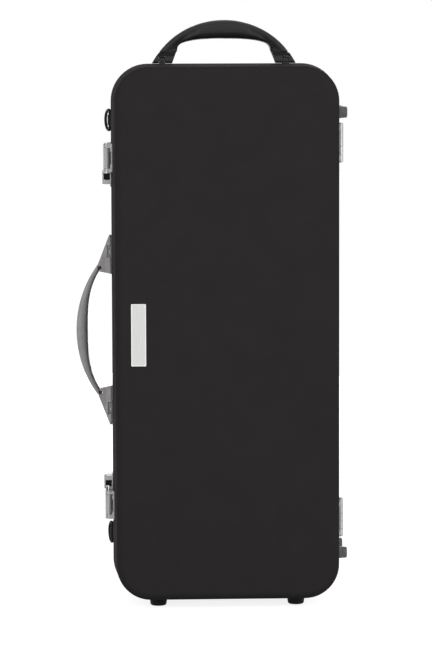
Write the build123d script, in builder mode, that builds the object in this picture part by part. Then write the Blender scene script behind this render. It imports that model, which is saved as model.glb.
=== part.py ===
from build123d import *
import os
from math import asin, atan2, copysign, cos, degrees, radians, sin, sqrt, tan

os.makedirs("parts", exist_ok=True)

# A hard case for a bassoon, standing on its short end.
# The latches and the side handle are on the left, the hinges on the right.
# Lengths are in millimetres. X runs across the front, Z is up, and Y is the depth:
# the lid lies towards -Y, the base towards +Y, and they meet in the seam plane.

# Shells
case_height = 635.0
case_width = 270.0
lid_depth = 72.0
base_depth = 83.0
corner_radius = 44.0
face_radius = 10.0
side_draft = 3.0
shell_wall = 3.0
seam_gap = 0.3

# Fits
fit_gap = 0.2
seat_gap = 0.3
turn_play = 0.05
slide_play = 0.3

# Rims and seal inside the shell edges
rim_width = 6.0
rim_depth = 9.0
groove_width = 3.0
groove_depth = 3.6
seal_height = 1.8
tongue_width = 1.8

# Padded insert and its wells, left to right: boot, wing, bell and long joint
insert_play = 0.8
insert_drop = 2.0
insert_soft_edge = 10.0
well_margin = 16.0
well_radius = 16.0
boot_width = 78.0
boot_depth = 60.0
wing_width = 48.0
wing_depth = 50.0
bell_width = 52.0
long_width = 40.0
long_depth = 46.0
long_end_pad = 6.5
boot_pocket_length = 135.0
wing_pocket_length = 65.0
bell_pocket_length = 235.0
pocket_depth = 50.0
pocket_divider = 8.0
hand_well_length = 36.0
hand_well_depth = 18.0
hand_well_offset = 105.0

# Accessory lid over the pocket above the bell
board_thickness = 4.0
board_play = 0.3
board_overlap = 2.5
board_corner = 6.0
tab_width = 12.0
tab_length = 16.0
tab_thickness = 1.2
tab_corner = 5.5

# Padded lining of the lid
lining_wall = 8.0
lining_floor = 10.0
lining_radius = 6.0

# Badge plate
badge_width = 18.8
badge_height = 74.3
badge_thickness = 1.2
badge_corner = 1.6
badge_inset = 32.0

# Hinges
hinge_length = 46.0
upper_hinge_offset = 223.0
lower_hinge_offset = 227.0
leaf_width = 21.0
leaf_thickness = 1.5
barrel_radius = 3.1
barrel_gap = 0.3
hinge_axis_reach = 3.5
knuckle_count = 5
knuckle_gap = 0.2
hinge_pin_radius = 1.5
pin_head_height = 0.8
pin_head_radius = 2.3
leaf_rivet_margin = 2.6

# Rivets
rivet_radius = 1.5
rivet_play = 0.05
rivet_head_radius = 2.8
rivet_head_height = 1.1
rivet_head_bevel = 0.6
rivet_head_slope = 60.0

# Latches: a case on the base, a sliding bolt with a thumb tab, a hasp on the lid
latch_offset = 198.0
latch_length = 52.5
latch_seam_gap = 1.0
latch_flange_width = 7.0
latch_flange_thickness = 1.3
latch_case_width = 20.5
latch_low_height = 5.2
latch_full_height = 8.8
latch_wall = 1.2
latch_end_length = 5.2
latch_end_lip = 3.0
notch_length = 7.8
latch_edge_round = 0.9
hasp_length = 34.6
hasp_inset = 0.6
hasp_thickness = 2.0
hasp_lift = 6.5
hasp_overlap = 17.5
hasp_tip_radius = 3.0
hasp_lip_inset = 5.4
hasp_lip_setback = 1.2
hasp_lip_length = 14.0
hasp_lip_width = 3.0
hasp_lip_height = 0.8
hasp_axis_depth = 18.0
hasp_axis_lift = 4.0
hasp_barrel_radius = 2.2
hasp_barrel_inset = 6.0
hasp_pin_radius = 1.2
bracket_thickness = 1.2
bracket_back = 9.0
bracket_front = 8.0
bracket_rivet_margin = 0.6
staple_thickness = 1.6
staple_width = 10.0
staple_offset = 18.6
staple_depth = 11.5
staple_play = 0.5
staple_floor = 1.4
bolt_width = 9.0
bolt_floor = 1.6
bolt_thickness = 2.4
bolt_nose_width = 4.4
bolt_nose_reach = 1.6
bolt_nose_length = 6.0
bolt_nose_floor = 2.6
stem_width = 12.0
button_length = 16.6
button_width = 15.0
button_thickness = 1.9
button_lift = 9.0
button_overlap = 3.4
button_corner = 2.0
button_bevel = 0.5
button_rib_margin = 1.5
button_rib_width = 0.8
button_rib_pitch = 2.4
button_rib_count = 5
button_rib_depth = 0.4
spring_window_width = 3.6
spring_window_length = 9.4
spring_radius = 1.1
spring_wire = 0.4
spring_turns = 4
lug_thickness = 1.4
lug_width = 2.6
lug_setback = 4.2

# Side handle: a bowed grip on two wedge shoes that turn on pins in black ears
handle_depth = 13.0
side_handle_reach = 43.0
side_handle_half = 114.0
side_grip_width = 20.0
side_grip_end_width = 14.0
side_grip_thickness = 13.7
side_grip_half = 78.0
side_grip_end_reach = 17.6
side_grip_end_length = 7.5
side_grip_end_drop = 2.1
side_grip_bow = 3.2
side_shoe_inner = 67.0
side_shoe_tip = 2.8
side_shoe_neck = 8.0
side_shoe_neck_width = 7.2
side_axis_lift = 3.4
side_knuckle_radius = 2.8
side_ear_length = 14.0
side_ear_offset = 94.0
side_pin_radius = 1.2
side_pin_length = 26.0
ear_gap = 0.25
plate_thickness = 1.6
plate_width = 25.0
plate_rivet_offset = 9.2
tenon_length = 4.0
tenon_root = 1.5
tenon_width = 4.0
tenon_depth = 8.0
tenon_play = 0.1
shoe_gap = 0.4

# Top handle: a thick arched grip on two flared end caps
top_handle_reach = 52.0
top_handle_half = 86.0
top_cap_inner = 61.5
top_cap_height = 13.2
top_cap_top_inner = 56.6
top_cap_rise = 1.5
top_grip_underside = 30.0
top_grip_bow = 2.6
top_grip_step = 1.6
top_grip_depth = 27.0
top_grip_end_depth = 22.0
grip_stations = 4
grip_roundness = 0.45
top_cap_neck = 9.2
top_cap_neck_width = 11.0
top_axis_lift = 5.2
top_knuckle_radius = 4.4
top_ear_radius = 3.5
top_ear_length = 7.0
top_ear_offset = 73.5
top_pin_radius = 1.6
top_pin_length = 15.0

# D-rings for a shoulder strap, each in a riveted clip
ring_offset = 250.0
ring_depth = 44.0
ring_half_length = 12.0
ring_corner = 3.3
ring_wire = 1.7
upper_left_ring_lean = 22.0
lower_left_ring_lean = 16.0
right_ring_lean = 5.0
ring_axis_lift = 2.9
clip_length = 12.0
clip_plate_width = 11.0
clip_thickness = 1.2
clip_wall = 1.0
clip_rivet_offset = 6.6

# Feet on the bottom end and on the hinge side, each held by a recessed screw
foot_reach = 7.6
foot_radius = 10.6
foot_tip_radius = 9.4
foot_round = 2.4
foot_offset = 82.0
lid_foot_depth = 36.0
base_foot_depth = 42.0
base_side_foot_depth = 30.0
side_foot_reach = 8.0
side_foot_radius = 7.3
side_foot_tip_radius = 6.6
side_foot_round = 1.4
upper_side_foot_offset = 260.0
lower_side_foot_offset = 264.0
foot_screw_radius = 1.6
foot_screw_head_radius = 3.2
foot_screw_head_height = 1.6
foot_screw_recess = 3.6

# The whole case stands centred on the origin, feet on z = 0
draft = radians(side_draft)
edge_lean = seam_gap / 2 * tan(draft)
body_x = (side_handle_reach - side_foot_reach) / 2
body_y = (lid_depth + badge_thickness - base_depth) / 2
body_z = foot_reach + case_height / 2
body_origin = Vector(body_x, body_y, body_z)
LID = -1
BASE = 1
RIGHT = 0
TOP = 90
LEFT = 180
BOTTOM = 270
ALIGNED = 0.99

seam_front = Plane(origin=body_origin, x_dir=(1, 0, 0), z_dir=(0, -1, 0))
seam_back = Plane(origin=body_origin, x_dir=(1, 0, 0), z_dir=(0, 1, 0))
middle = Plane(origin=body_origin, x_dir=(1, 0, 0), z_dir=(0, 0, 1))
upright = Plane(origin=body_origin, x_dir=(0, 1, 0), z_dir=(1, 0, 0))


def wall(side, half):
    """Plane on an outer wall: x runs along the seam, y away from the seam, z outwards."""
    angle = radians(side)
    outward = Vector(cos(angle), 0, sin(angle))
    along = Vector(sin(angle), 0, -cos(angle)) * half
    reach = case_width / 2 if side in (LEFT, RIGHT) else case_height / 2
    normal = outward * cos(draft) + Vector(0, half, 0) * sin(draft)
    return Plane(origin=body_origin + outward * reach, x_dir=along, z_dir=normal)


def at(plane, x, y, z=0.0):
    """The same plane with its origin moved to local x, y, z."""
    return Plane(origin=plane.from_local_coords(Vector(x, y, z)), x_dir=plane.x_dir, z_dir=plane.z_dir)


def outline(inset):
    """The case outline, drawn inset from the seam edge."""
    RectangleRounded(case_width - 2 * inset, case_height - 2 * inset, corner_radius - inset)


def cut_band(inset, width):
    """Leave only a closed band of the given width, inset from the seam edge."""
    outline(inset)
    RectangleRounded(
        case_width - 2 * (inset + width),
        case_height - 2 * (inset + width),
        corner_radius - inset - width,
        mode=Mode.SUBTRACT,
    )


def save(builder, name):
    """Label a finished sub-part and write its STEP file."""
    builder.part.label = name
    export_step(builder.part, f"parts/{name}.step")


def mirrored(upper):
    """The lower twin of a piece, mirrored about the middle of the case."""
    with BuildPart() as lower:
        add(upper.part)
        mirror(about=middle, mode=Mode.REPLACE)
    return lower


def leftright(right_hand):
    """The twin of a piece on the other side of the upright middle plane."""
    with BuildPart() as twin:
        add(right_hand.part)
        mirror(about=upright, mode=Mode.REPLACE)
    return twin


def seam_x(side, half, height):
    """Local x, on a left or right wall, of a height above the middle of the case."""
    return height * half if side == LEFT else -height * half


# Places that more than one sub-part uses
hinge_heights = (upper_hinge_offset, -lower_hinge_offset)
leaf_rivet_y = leaf_width - rivet_head_radius - leaf_rivet_margin
leaf_rivet_x = hinge_length / 2 - rivet_head_radius - leaf_rivet_margin
latch_top = latch_offset + latch_length / 2
flange_rivet_y = latch_seam_gap + latch_case_width + latch_flange_width / 2
flange_rivet_inset = 7.0
bracket_length = hasp_length - 2 * hasp_inset
bracket_rivet_y = hasp_axis_depth + bracket_back - rivet_head_radius - bracket_rivet_margin
bracket_rivet_inset = 7.0


def rivet_spots():
    """Every rivet on a shell: its plane, and the thickness that it holds down."""
    spots = {LID: [], BASE: []}
    for half in (LID, BASE):
        for height in hinge_heights:
            for end in (-1, 1):
                x = seam_x(RIGHT, half, height + end * leaf_rivet_x)
                spots[half].append((at(wall(RIGHT, half), x, leaf_rivet_y), leaf_thickness))
    for sign in (-1, 1):
        for inset in (flange_rivet_inset, latch_length / 2, latch_length - flange_rivet_inset):
            x = sign * (latch_top - inset)
            spots[BASE].append((at(wall(LEFT, BASE), x, flange_rivet_y), latch_flange_thickness))
        for inset in (bracket_rivet_inset, bracket_length - bracket_rivet_inset):
            x = sign * (latch_top - hasp_inset - inset)
            spots[LID].append((at(wall(LEFT, LID), x, bracket_rivet_y), bracket_thickness))
        for end in (-1, 1):
            y = handle_depth + end * plate_rivet_offset
            spots[BASE].append((at(wall(LEFT, BASE), sign * side_ear_offset, y), plate_thickness))
            spots[BASE].append((at(wall(TOP, BASE), sign * top_ear_offset, y), plate_thickness))
        for side in (LEFT, RIGHT):
            y = ring_depth + clip_rivet_offset
            spots[BASE].append((at(wall(side, BASE), sign * ring_offset, y), clip_thickness))
    return spots


rivets = rivet_spots()


def foot_spots(half):
    """Planes of the feet of one half: two on the bottom end, two on the hinge side."""
    depth = lid_foot_depth if half == LID else base_foot_depth
    side_depth = lid_foot_depth if half == LID else base_side_foot_depth
    bottom = [at(wall(BOTTOM, half), sign * foot_offset, depth) for sign in (-1, 1)]
    heights = (upper_side_foot_offset, -lower_side_foot_offset)
    side = [at(wall(RIGHT, half), seam_x(RIGHT, half, height), side_depth) for height in heights]
    return bottom, side


# Lid shell and base shell: drafted trays with a rounded face edge
def make_shell(plane, depth, half):
    with BuildPart() as shell:
        with BuildSketch(plane.offset(seam_gap / 2)):
            outline(edge_lean)
        extrude(amount=depth - seam_gap / 2, taper=side_draft)
        face = shell.faces().sort_by(Axis.Y)[0 if half == LID else -1]
        fillet(face.edges(), face_radius)
        with BuildSketch(plane):
            outline(shell_wall)
        extrude(amount=depth - shell_wall, taper=side_draft, mode=Mode.SUBTRACT)
        floor = shell.faces().filter_by(Axis.Y).sort_by(Axis.Y)[1 if half == LID else -2]
        fillet(floor.edges(), face_radius - shell_wall)
        bottom, side = foot_spots(half)
        for spot, thickness in rivets[half]:
            with BuildSketch(spot):
                Circle(rivet_radius + rivet_play)
            extrude(amount=-2 * shell_wall, mode=Mode.SUBTRACT)
        for spot in bottom + side:
            with BuildSketch(spot):
                Circle(foot_screw_radius + rivet_play)
            extrude(amount=-2 * shell_wall, mode=Mode.SUBTRACT)
    return shell


save(make_shell(seam_front, lid_depth, LID), "lid_shell")
save(make_shell(seam_back, base_depth, BASE), "base_shell")

# Rims: the base rim has a groove, the lid rim a tongue that presses on the seal
rim_inset = shell_wall + fit_gap
groove_inset = rim_inset + (rim_width - groove_width) / 2
tongue_inset = rim_inset + (rim_width - tongue_width) / 2
tongue_reach = seam_gap + groove_depth - seal_height - seat_gap

with BuildPart() as base_rim:
    with BuildSketch(seam_back.offset(seam_gap / 2)):
        outline(rim_inset + edge_lean)
    extrude(amount=rim_depth, taper=side_draft)
    with BuildSketch(seam_back):
        outline(rim_inset + rim_width)
    extrude(amount=2 * rim_depth, mode=Mode.SUBTRACT)
    with BuildSketch(seam_back):
        cut_band(groove_inset, groove_width)
    extrude(amount=seam_gap / 2 + groove_depth, mode=Mode.SUBTRACT)
save(base_rim, "base_rim")

with BuildPart() as lid_rim:
    with BuildSketch(seam_front.offset(seam_gap / 2)):
        outline(rim_inset + edge_lean)
    extrude(amount=rim_depth, taper=side_draft)
    with BuildSketch(seam_front):
        outline(rim_inset + rim_width)
    extrude(amount=2 * rim_depth, mode=Mode.SUBTRACT)
    with BuildSketch(seam_front.offset(seam_gap / 2)):
        cut_band(tongue_inset, tongue_width)
    extrude(amount=-tongue_reach)
save(lid_rim, "lid_rim")

with BuildPart() as rim_seal:
    with BuildSketch(seam_back.offset(seam_gap / 2 + groove_depth)):
        cut_band(groove_inset + fit_gap / 2, groove_width - fit_gap)
    extrude(amount=-seal_height)
save(rim_seal, "rim_seal")

# Insert: plush-covered foam, glued up from a floor, a frame, partitions between the
# columns of wells, dividers across the columns and risers under the shallow wells
insert_inset = rim_inset + rim_width + insert_play
insert_width = case_width - 2 * insert_inset
insert_height = case_height - 2 * insert_inset
insert_depth = base_depth - shell_wall - seat_gap - insert_drop
insert_top = seam_front.offset(-insert_drop)
columns = [boot_width, wing_width, bell_width, long_width]
partition = (insert_width - sum(columns)) / (len(columns) + 1)
column_x = [
    -insert_width / 2 + partition * (i + 1) + sum(columns[:i]) + columns[i] / 2
    for i in range(len(columns))
]
boot_x, wing_x, bell_x, long_x = column_x
well_end = insert_height / 2 - well_margin
bell_pocket_z = well_end - bell_pocket_length / 2
board_width = bell_width + 2 * board_overlap
board_length = bell_pocket_length + 2 * board_overlap


def well_field(inset, mode=Mode.ADD):
    """The space inside the insert's frame, which holds every well."""
    RectangleRounded(
        insert_width - 2 * (partition + inset), 2 * (well_end - inset), well_radius - inset, mode=mode
    )


def board_outline(play):
    """The outline of the accessory lid, grown by the play all round."""
    with Locations((bell_x, bell_pocket_z)):
        RectangleRounded(board_width + 2 * play, board_length + 2 * play, board_corner + play)


def sink_board():
    """Sink the accessory lid's recess into the piece that is being built."""
    with BuildSketch(insert_top) as profile:
        board_outline(board_play)
    extrude(profile.sketch, amount=-(board_thickness + seat_gap), mode=Mode.SUBTRACT)


with BuildPart() as insert_floor:
    with BuildSketch(insert_top.offset(-boot_depth)):
        outline(insert_inset)
    extrude(amount=boot_depth - insert_depth)
    fillet(insert_floor.faces().sort_by(Axis.Y)[-1].edges(), insert_soft_edge)
save(insert_floor, "insert_floor")

with BuildPart() as insert_frame:
    with BuildSketch(insert_top):
        outline(insert_inset)
        well_field(0, Mode.SUBTRACT)
    extrude(amount=seat_gap - boot_depth)
    sink_board()
save(insert_frame, "insert_frame")

with BuildPart() as insert_partitions:
    with BuildSketch(insert_top):
        for x, width in zip(column_x[1:], columns[1:]):
            with Locations((x - (width + partition) / 2, 0)):
                Rectangle(partition, insert_height)
        well_field(seat_gap, Mode.INTERSECT)
    extrude(amount=seat_gap - boot_depth)
    for sign, last_x in ((-1, long_x), (1, wing_x)):
        with BuildSketch(insert_top):
            with Locations(((boot_x + last_x) / 2, sign * hand_well_offset)):
                Rectangle(last_x - boot_x, hand_well_length)
        extrude(amount=-hand_well_depth, mode=Mode.SUBTRACT)
    sink_board()
save(insert_partitions, "insert_partitions")

# Each divider or end pad: x, column width, middle height, thickness and well depth
long_pad_z = well_end - long_end_pad / 2
dividers = [
    (x, width, well_end - pocket - pocket_divider / 2, pocket_divider, depth)
    for x, width, pocket, depth in (
        (boot_x, boot_width, boot_pocket_length, boot_depth),
        (wing_x, wing_width, wing_pocket_length, wing_depth),
        (bell_x, bell_width, bell_pocket_length, boot_depth),
    )
]
end_pads = [(long_x, long_width, z, long_end_pad, long_depth) for z in (-long_pad_z, long_pad_z)]
with BuildPart() as insert_dividers:
    for x, width, z, thickness, depth in dividers + end_pads:
        with BuildSketch(insert_top):
            with Locations((x, z)):
                Rectangle(width - 2 * seat_gap, thickness)
            well_field(seat_gap, Mode.INTERSECT)
        extrude(amount=seat_gap - depth)
    sink_board()
save(insert_dividers, "insert_dividers")

# Each riser: x, column width, middle height, length and well depth
risers = (
    (wing_x, wing_width, 0, insert_height, wing_depth),
    (long_x, long_width, 0, insert_height, long_depth),
    (boot_x, boot_width, well_end - boot_pocket_length / 2, boot_pocket_length, pocket_depth),
    (bell_x, bell_width, bell_pocket_z, bell_pocket_length, pocket_depth),
)
with BuildPart() as insert_risers:
    for x, width, z, length, depth in risers:
        with BuildSketch(insert_top.offset(-depth)):
            with Locations((x, z)):
                Rectangle(width - 2 * seat_gap, length - 2 * seat_gap)
            well_field(seat_gap, Mode.INTERSECT)
        extrude(amount=depth - boot_depth + seat_gap)
save(insert_risers, "insert_risers")

# Accessory lid and its pull tab, hinged along the edge beside the wing joint
with BuildPart() as accessory_lid:
    with BuildSketch(insert_top):
        board_outline(0)
    extrude(amount=-board_thickness)
save(accessory_lid, "accessory_lid")

with BuildPart() as accessory_tab:
    with BuildSketch(insert_top):
        with Locations((bell_x + board_width / 2 - tab_length / 2, bell_pocket_z)):
            RectangleRounded(tab_length, tab_width, tab_corner)
    extrude(amount=tab_thickness)
save(accessory_tab, "accessory_tab")

# Lining: a padded tray that fills the lid
lining_back = seam_front.offset(insert_drop)
with BuildPart() as lid_lining:
    with BuildSketch(lining_back):
        outline(insert_inset)
    extrude(amount=lid_depth - shell_wall - seat_gap - insert_drop)
    fillet(lid_lining.faces().sort_by(Axis.Y)[0].edges(), insert_soft_edge)
    with BuildSketch(lining_back):
        outline(insert_inset + lining_wall)
    extrude(
        amount=lid_depth - shell_wall - seat_gap - insert_drop - lining_floor, mode=Mode.SUBTRACT
    )
    floor = lid_lining.faces().filter_by(Axis.Y).sort_by(Axis.Y)[1]
    fillet(floor.edges(), lining_radius)
save(lid_lining, "lid_lining")

# Bare badge plate on the face of the lid
with BuildPart() as badge_plate:
    with BuildSketch(seam_front.offset(lid_depth)):
        with Locations((badge_inset - case_width / 2, 0)):
            RectangleRounded(badge_width, badge_height, badge_corner)
    extrude(amount=badge_thickness)
    fillet(badge_plate.faces().sort_by(Axis.Y)[0].edges(), badge_thickness / 3)
save(badge_plate, "badge_plate")

# Hinges: two drafted leaves with interleaved knuckles on a headed pin
hinge_seam = at(middle, case_width / 2, 0)
knuckle_length = hinge_length / knuckle_count


def make_leaves(half):
    """Both leaves of one half, each with its own knuckles."""
    own = [i for i in range(knuckle_count) if (i % 2 == 0) == (half == BASE)]
    start = seam_gap / 2 + knuckle_gap
    lean = tan(draft)
    away = Vector(cos(draft), half * sin(draft)) * leaf_thickness
    with BuildPart() as leaves:
        for height in hinge_heights:
            low = at(hinge_seam, 0, 0, height - hinge_length / 2)
            with BuildSketch(low):
                with BuildLine():
                    foot = Vector(-start * lean, half * start)
                    tip = Vector(-leaf_width * lean, half * leaf_width)
                    Polyline(foot, tip, tip + away, foot + away, close=True)
                make_face()
            extrude(amount=hinge_length)
            for i in range(knuckle_count):
                if i in own:
                    with BuildSketch(at(low, 0, 0, i * knuckle_length + knuckle_gap / 2)):
                        with Locations((hinge_axis_reach, 0)):
                            Circle(barrel_radius)
                    extrude(amount=knuckle_length - knuckle_gap)
                else:
                    with BuildSketch(at(low, 0, 0, i * knuckle_length - knuckle_gap / 2)):
                        with Locations((hinge_axis_reach, 0)):
                            Circle(barrel_radius + barrel_gap)
                    extrude(amount=knuckle_length + knuckle_gap, mode=Mode.SUBTRACT)
            with BuildSketch(low):
                with Locations((hinge_axis_reach, 0)):
                    Circle(hinge_pin_radius + turn_play)
            extrude(amount=hinge_length, mode=Mode.SUBTRACT)
        for height in [i + j * leaf_rivet_x for i in hinge_heights for j in (-1, 1)]:
            with BuildSketch(at(wall(RIGHT, half), seam_x(RIGHT, half, height), leaf_rivet_y)):
                Circle(rivet_radius + rivet_play)
            extrude(amount=2 * leaf_thickness, both=True, mode=Mode.SUBTRACT)
    return leaves


save(make_leaves(BASE), "hinge_base_leaves")
save(make_leaves(LID), "hinge_lid_leaves")

with BuildPart() as hinge_pins:
    for height in hinge_heights:
        low = at(hinge_seam, hinge_axis_reach, 0, height - hinge_length / 2)
        with BuildSketch(low):
            Circle(hinge_pin_radius)
        extrude(amount=hinge_length)
        for end in (0, 1):
            head = at(low, 0, 0, end * hinge_length - (1 - end) * (pin_head_height - knuckle_gap / 2))
            with BuildSketch(head):
                Circle(pin_head_radius)
            extrude(amount=pin_head_height - knuckle_gap / 2)
save(hinge_pins, "hinge_pins")


# Rivets: a bevelled head on the plate and a shank through plate and shell
def make_rivets(spots):
    with BuildPart() as group:
        for spot, thickness in spots:
            with BuildSketch(spot.offset(thickness)):
                Circle(rivet_head_radius)
            extrude(amount=rivet_head_height - rivet_head_bevel)
            with BuildSketch(spot.offset(thickness + rivet_head_height - rivet_head_bevel)):
                Circle(rivet_head_radius)
            extrude(amount=rivet_head_bevel, taper=rivet_head_slope)
            with BuildSketch(spot.offset(-shell_wall)):
                Circle(rivet_radius)
            extrude(amount=shell_wall + thickness)
    return group


save(make_rivets(rivets[BASE]), "base_rivets")
save(make_rivets(rivets[LID]), "lid_rivets")

# Latches, drawn for the upper one. In the latch plane x falls from the outer end of the
# latch towards the handle, y runs away from the seam and z outwards.
latch_plane = wall(LEFT, BASE)
latch_y = latch_seam_gap + latch_case_width / 2
bolt_y = latch_seam_gap + staple_depth
notch_start = latch_length - latch_end_lip - latch_end_length - notch_length


def latch_at(along, y, z=0.0):
    """A point of the latch plane, measured along from the outer end of the upper latch."""
    return at(latch_plane, latch_top - along, y, z)


def latch_block(start, end, y, width, low, high, mode=Mode.ADD):
    """A block of a latch, from start to end along it and from low to high off the wall."""
    with BuildSketch(latch_at((start + end) / 2, y, low)) as profile:
        Rectangle(end - start, width)
    extrude(profile.sketch, amount=high - low, mode=mode)


with BuildPart() as latch_upper_case:
    latch_block(0, notch_start, latch_y, latch_case_width, 0, latch_low_height)
    notch_end = notch_start + notch_length
    latch_block(notch_end, notch_end + latch_end_length, latch_y, latch_case_width, 0, latch_full_height)
    fillet(
        latch_upper_case.faces()
        .filter_by(lambda face: face.normal_at().dot(latch_plane.z_dir) > ALIGNED)
        .edges(),
        latch_edge_round,
    )
    latch_block(
        0,
        latch_length,
        latch_seam_gap + (latch_case_width + latch_flange_width) / 2,
        latch_case_width + latch_flange_width,
        0,
        latch_flange_thickness,
    )
    cavity_width = latch_case_width - 2 * latch_wall
    cavity_top = bolt_floor + bolt_thickness + slide_play
    latch_block(
        latch_wall, notch_end, latch_y, cavity_width, latch_flange_thickness, cavity_top, Mode.SUBTRACT
    )
    latch_block(
        staple_offset - staple_play,
        staple_offset + staple_thickness + staple_play,
        bolt_y,
        staple_width + 2 * staple_play,
        cavity_top - staple_play,
        latch_full_height,
        Mode.SUBTRACT,
    )
    latch_block(
        notch_end,
        notch_end + latch_end_length - latch_wall,
        bolt_y,
        stem_width + 2 * slide_play,
        latch_flange_thickness,
        latch_full_height,
        Mode.SUBTRACT,
    )
    lug_start = notch_start - lug_setback
    latch_block(lug_start, lug_start + lug_thickness, bolt_y, lug_width, 0, cavity_top - slide_play)
    for inset in (flange_rivet_inset, latch_length / 2, latch_length - flange_rivet_inset):
        with BuildSketch(latch_at(inset, flange_rivet_y)):
            Circle(rivet_radius + rivet_play)
        extrude(amount=2 * latch_flange_thickness, mode=Mode.SUBTRACT)

# The bolt slides towards the handle to let the hasp go. Its stem fills the notch, and
# slides into a channel in the end block.
stem_start = notch_start + slide_play
stem_length = notch_length - 2 * slide_play
nose_start = staple_offset - bolt_nose_reach
window_end = lug_start + lug_thickness + slide_play
window_start = window_end - spring_window_length
bolt_top = bolt_floor + bolt_thickness
with BuildPart() as latch_upper_bolt:
    latch_block(
        nose_start + bolt_nose_length,
        stem_start + stem_length,
        bolt_y,
        bolt_width,
        bolt_floor,
        bolt_top,
    )
    latch_block(
        nose_start,
        nose_start + bolt_nose_length,
        bolt_y,
        bolt_nose_width,
        bolt_nose_floor,
        bolt_top,
    )
    latch_block(
        stem_start, stem_start + stem_length, bolt_y, stem_width, bolt_floor, button_lift
    )
    latch_block(
        window_start,
        window_end,
        bolt_y,
        spring_window_width,
        bolt_floor,
        bolt_top,
        Mode.SUBTRACT,
    )

# Thumb tab on the stem, ribbed across the way it slides
button_start = notch_start - button_overlap
with BuildPart() as latch_upper_button:
    latch_block(
        button_start,
        button_start + button_length,
        bolt_y,
        button_width,
        button_lift,
        button_lift + button_thickness,
    )
    fillet(
        latch_upper_button.edges().filter_by(
            lambda edge: abs(edge.tangent_at().dot(latch_plane.z_dir)) > ALIGNED
        ),
        button_corner,
    )
    chamfer(
        latch_upper_button.faces()
        .filter_by(lambda face: face.normal_at().dot(latch_plane.z_dir) > ALIGNED)
        .edges(),
        button_bevel,
    )
    for i in range(button_rib_count):
        rib = button_start + button_length / 2 + (i - (button_rib_count - 1) / 2) * button_rib_pitch
        latch_block(
            rib - button_rib_width / 2,
            rib + button_rib_width / 2,
            bolt_y,
            button_width - 2 * button_rib_margin,
            button_lift + button_thickness - button_rib_depth,
            button_lift + button_thickness,
            Mode.SUBTRACT,
        )

# Return spring between the bolt's window and the fixed lug
spring_length = lug_start - window_start - 2 * spring_wire
with BuildPart() as latch_upper_spring:
    spring_plane = Plane(
        origin=latch_plane.from_local_coords(
            Vector(latch_top - lug_start + spring_wire, bolt_y, bolt_floor + bolt_thickness / 2)
        ),
        x_dir=latch_plane.z_dir,
        z_dir=latch_plane.x_dir,
    )
    with BuildLine(spring_plane) as coil:
        Helix(
            pitch=spring_length / spring_turns,
            height=spring_length,
            radius=spring_radius - spring_wire / 2,
        )
    with BuildSketch(Plane(origin=coil.line @ 0, z_dir=coil.line % 0)):
        Rectangle(spring_wire, spring_wire)
    sweep(path=coil.line, is_frenet=True)

# Hasp on the lid: a plate over the seam with a finger lip, a barrel and a staple
hasp_start = hasp_inset
hasp_end = hasp_inset + hasp_length
with BuildPart() as latch_upper_hasp:
    latch_block(
        hasp_start,
        hasp_end,
        (hasp_overlap - hasp_axis_depth) / 2,
        hasp_overlap + hasp_axis_depth,
        hasp_lift,
        hasp_lift + hasp_thickness,
    )
    corners = latch_upper_hasp.edges().filter_by(
        lambda edge: abs(edge.tangent_at().dot(latch_plane.z_dir)) > ALIGNED
    ).sort_by(Axis.Y)[-2:]
    fillet(corners, hasp_tip_radius)
    fillet(
        latch_upper_hasp.faces()
        .filter_by(lambda face: face.normal_at().dot(latch_plane.z_dir) > ALIGNED)
        .edges(),
        latch_edge_round,
    )
    lip_start = hasp_inset + hasp_lip_inset
    latch_block(
        lip_start,
        lip_start + hasp_lip_length,
        hasp_overlap - hasp_lip_width / 2 - hasp_lip_setback,
        hasp_lip_width,
        hasp_lift + hasp_thickness / 2,
        hasp_lift + hasp_thickness + hasp_lip_height,
    )
    latch_block(
        hasp_barrel_inset,
        hasp_end - hasp_barrel_inset + hasp_inset,
        -hasp_axis_depth,
        2 * hasp_barrel_radius,
        hasp_axis_lift,
        hasp_lift + hasp_thickness / 2,
    )
    latch_block(
        staple_offset,
        staple_offset + staple_thickness,
        bolt_y,
        staple_width,
        staple_floor,
        hasp_lift + hasp_thickness / 2,
    )
    latch_block(
        staple_offset - staple_play,
        staple_offset + staple_thickness + staple_play,
        bolt_y,
        bolt_nose_width + 2 * slide_play,
        bolt_nose_floor - slide_play,
        bolt_top + slide_play,
        Mode.SUBTRACT,
    )
    barrel_plane = Plane(
        origin=latch_plane.from_local_coords(Vector(latch_top, -hasp_axis_depth, hasp_axis_lift)),
        x_dir=latch_plane.z_dir,
        z_dir=-latch_plane.x_dir,
    )
    with BuildSketch(barrel_plane.offset(hasp_barrel_inset)):
        Circle(hasp_barrel_radius)
    extrude(amount=hasp_end - 2 * hasp_barrel_inset + hasp_inset)
    with BuildSketch(barrel_plane):
        Circle(hasp_pin_radius + turn_play)
    extrude(amount=latch_length, mode=Mode.SUBTRACT)

# Bracket on the lid that carries the hasp's pin in two ears
lid_left = wall(LEFT, LID)
axis_in_lid = lid_left.to_local_coords(barrel_plane.origin)


def bracket_block(start, end, y, width, low, high, mode=Mode.ADD):
    """A block of the hasp bracket, measured like latch_block but on the lid's wall."""
    with BuildSketch(at(lid_left, -(latch_top - (start + end) / 2), y, low)) as profile:
        Rectangle(end - start, width)
    extrude(profile.sketch, amount=high - low, mode=mode)


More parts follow.
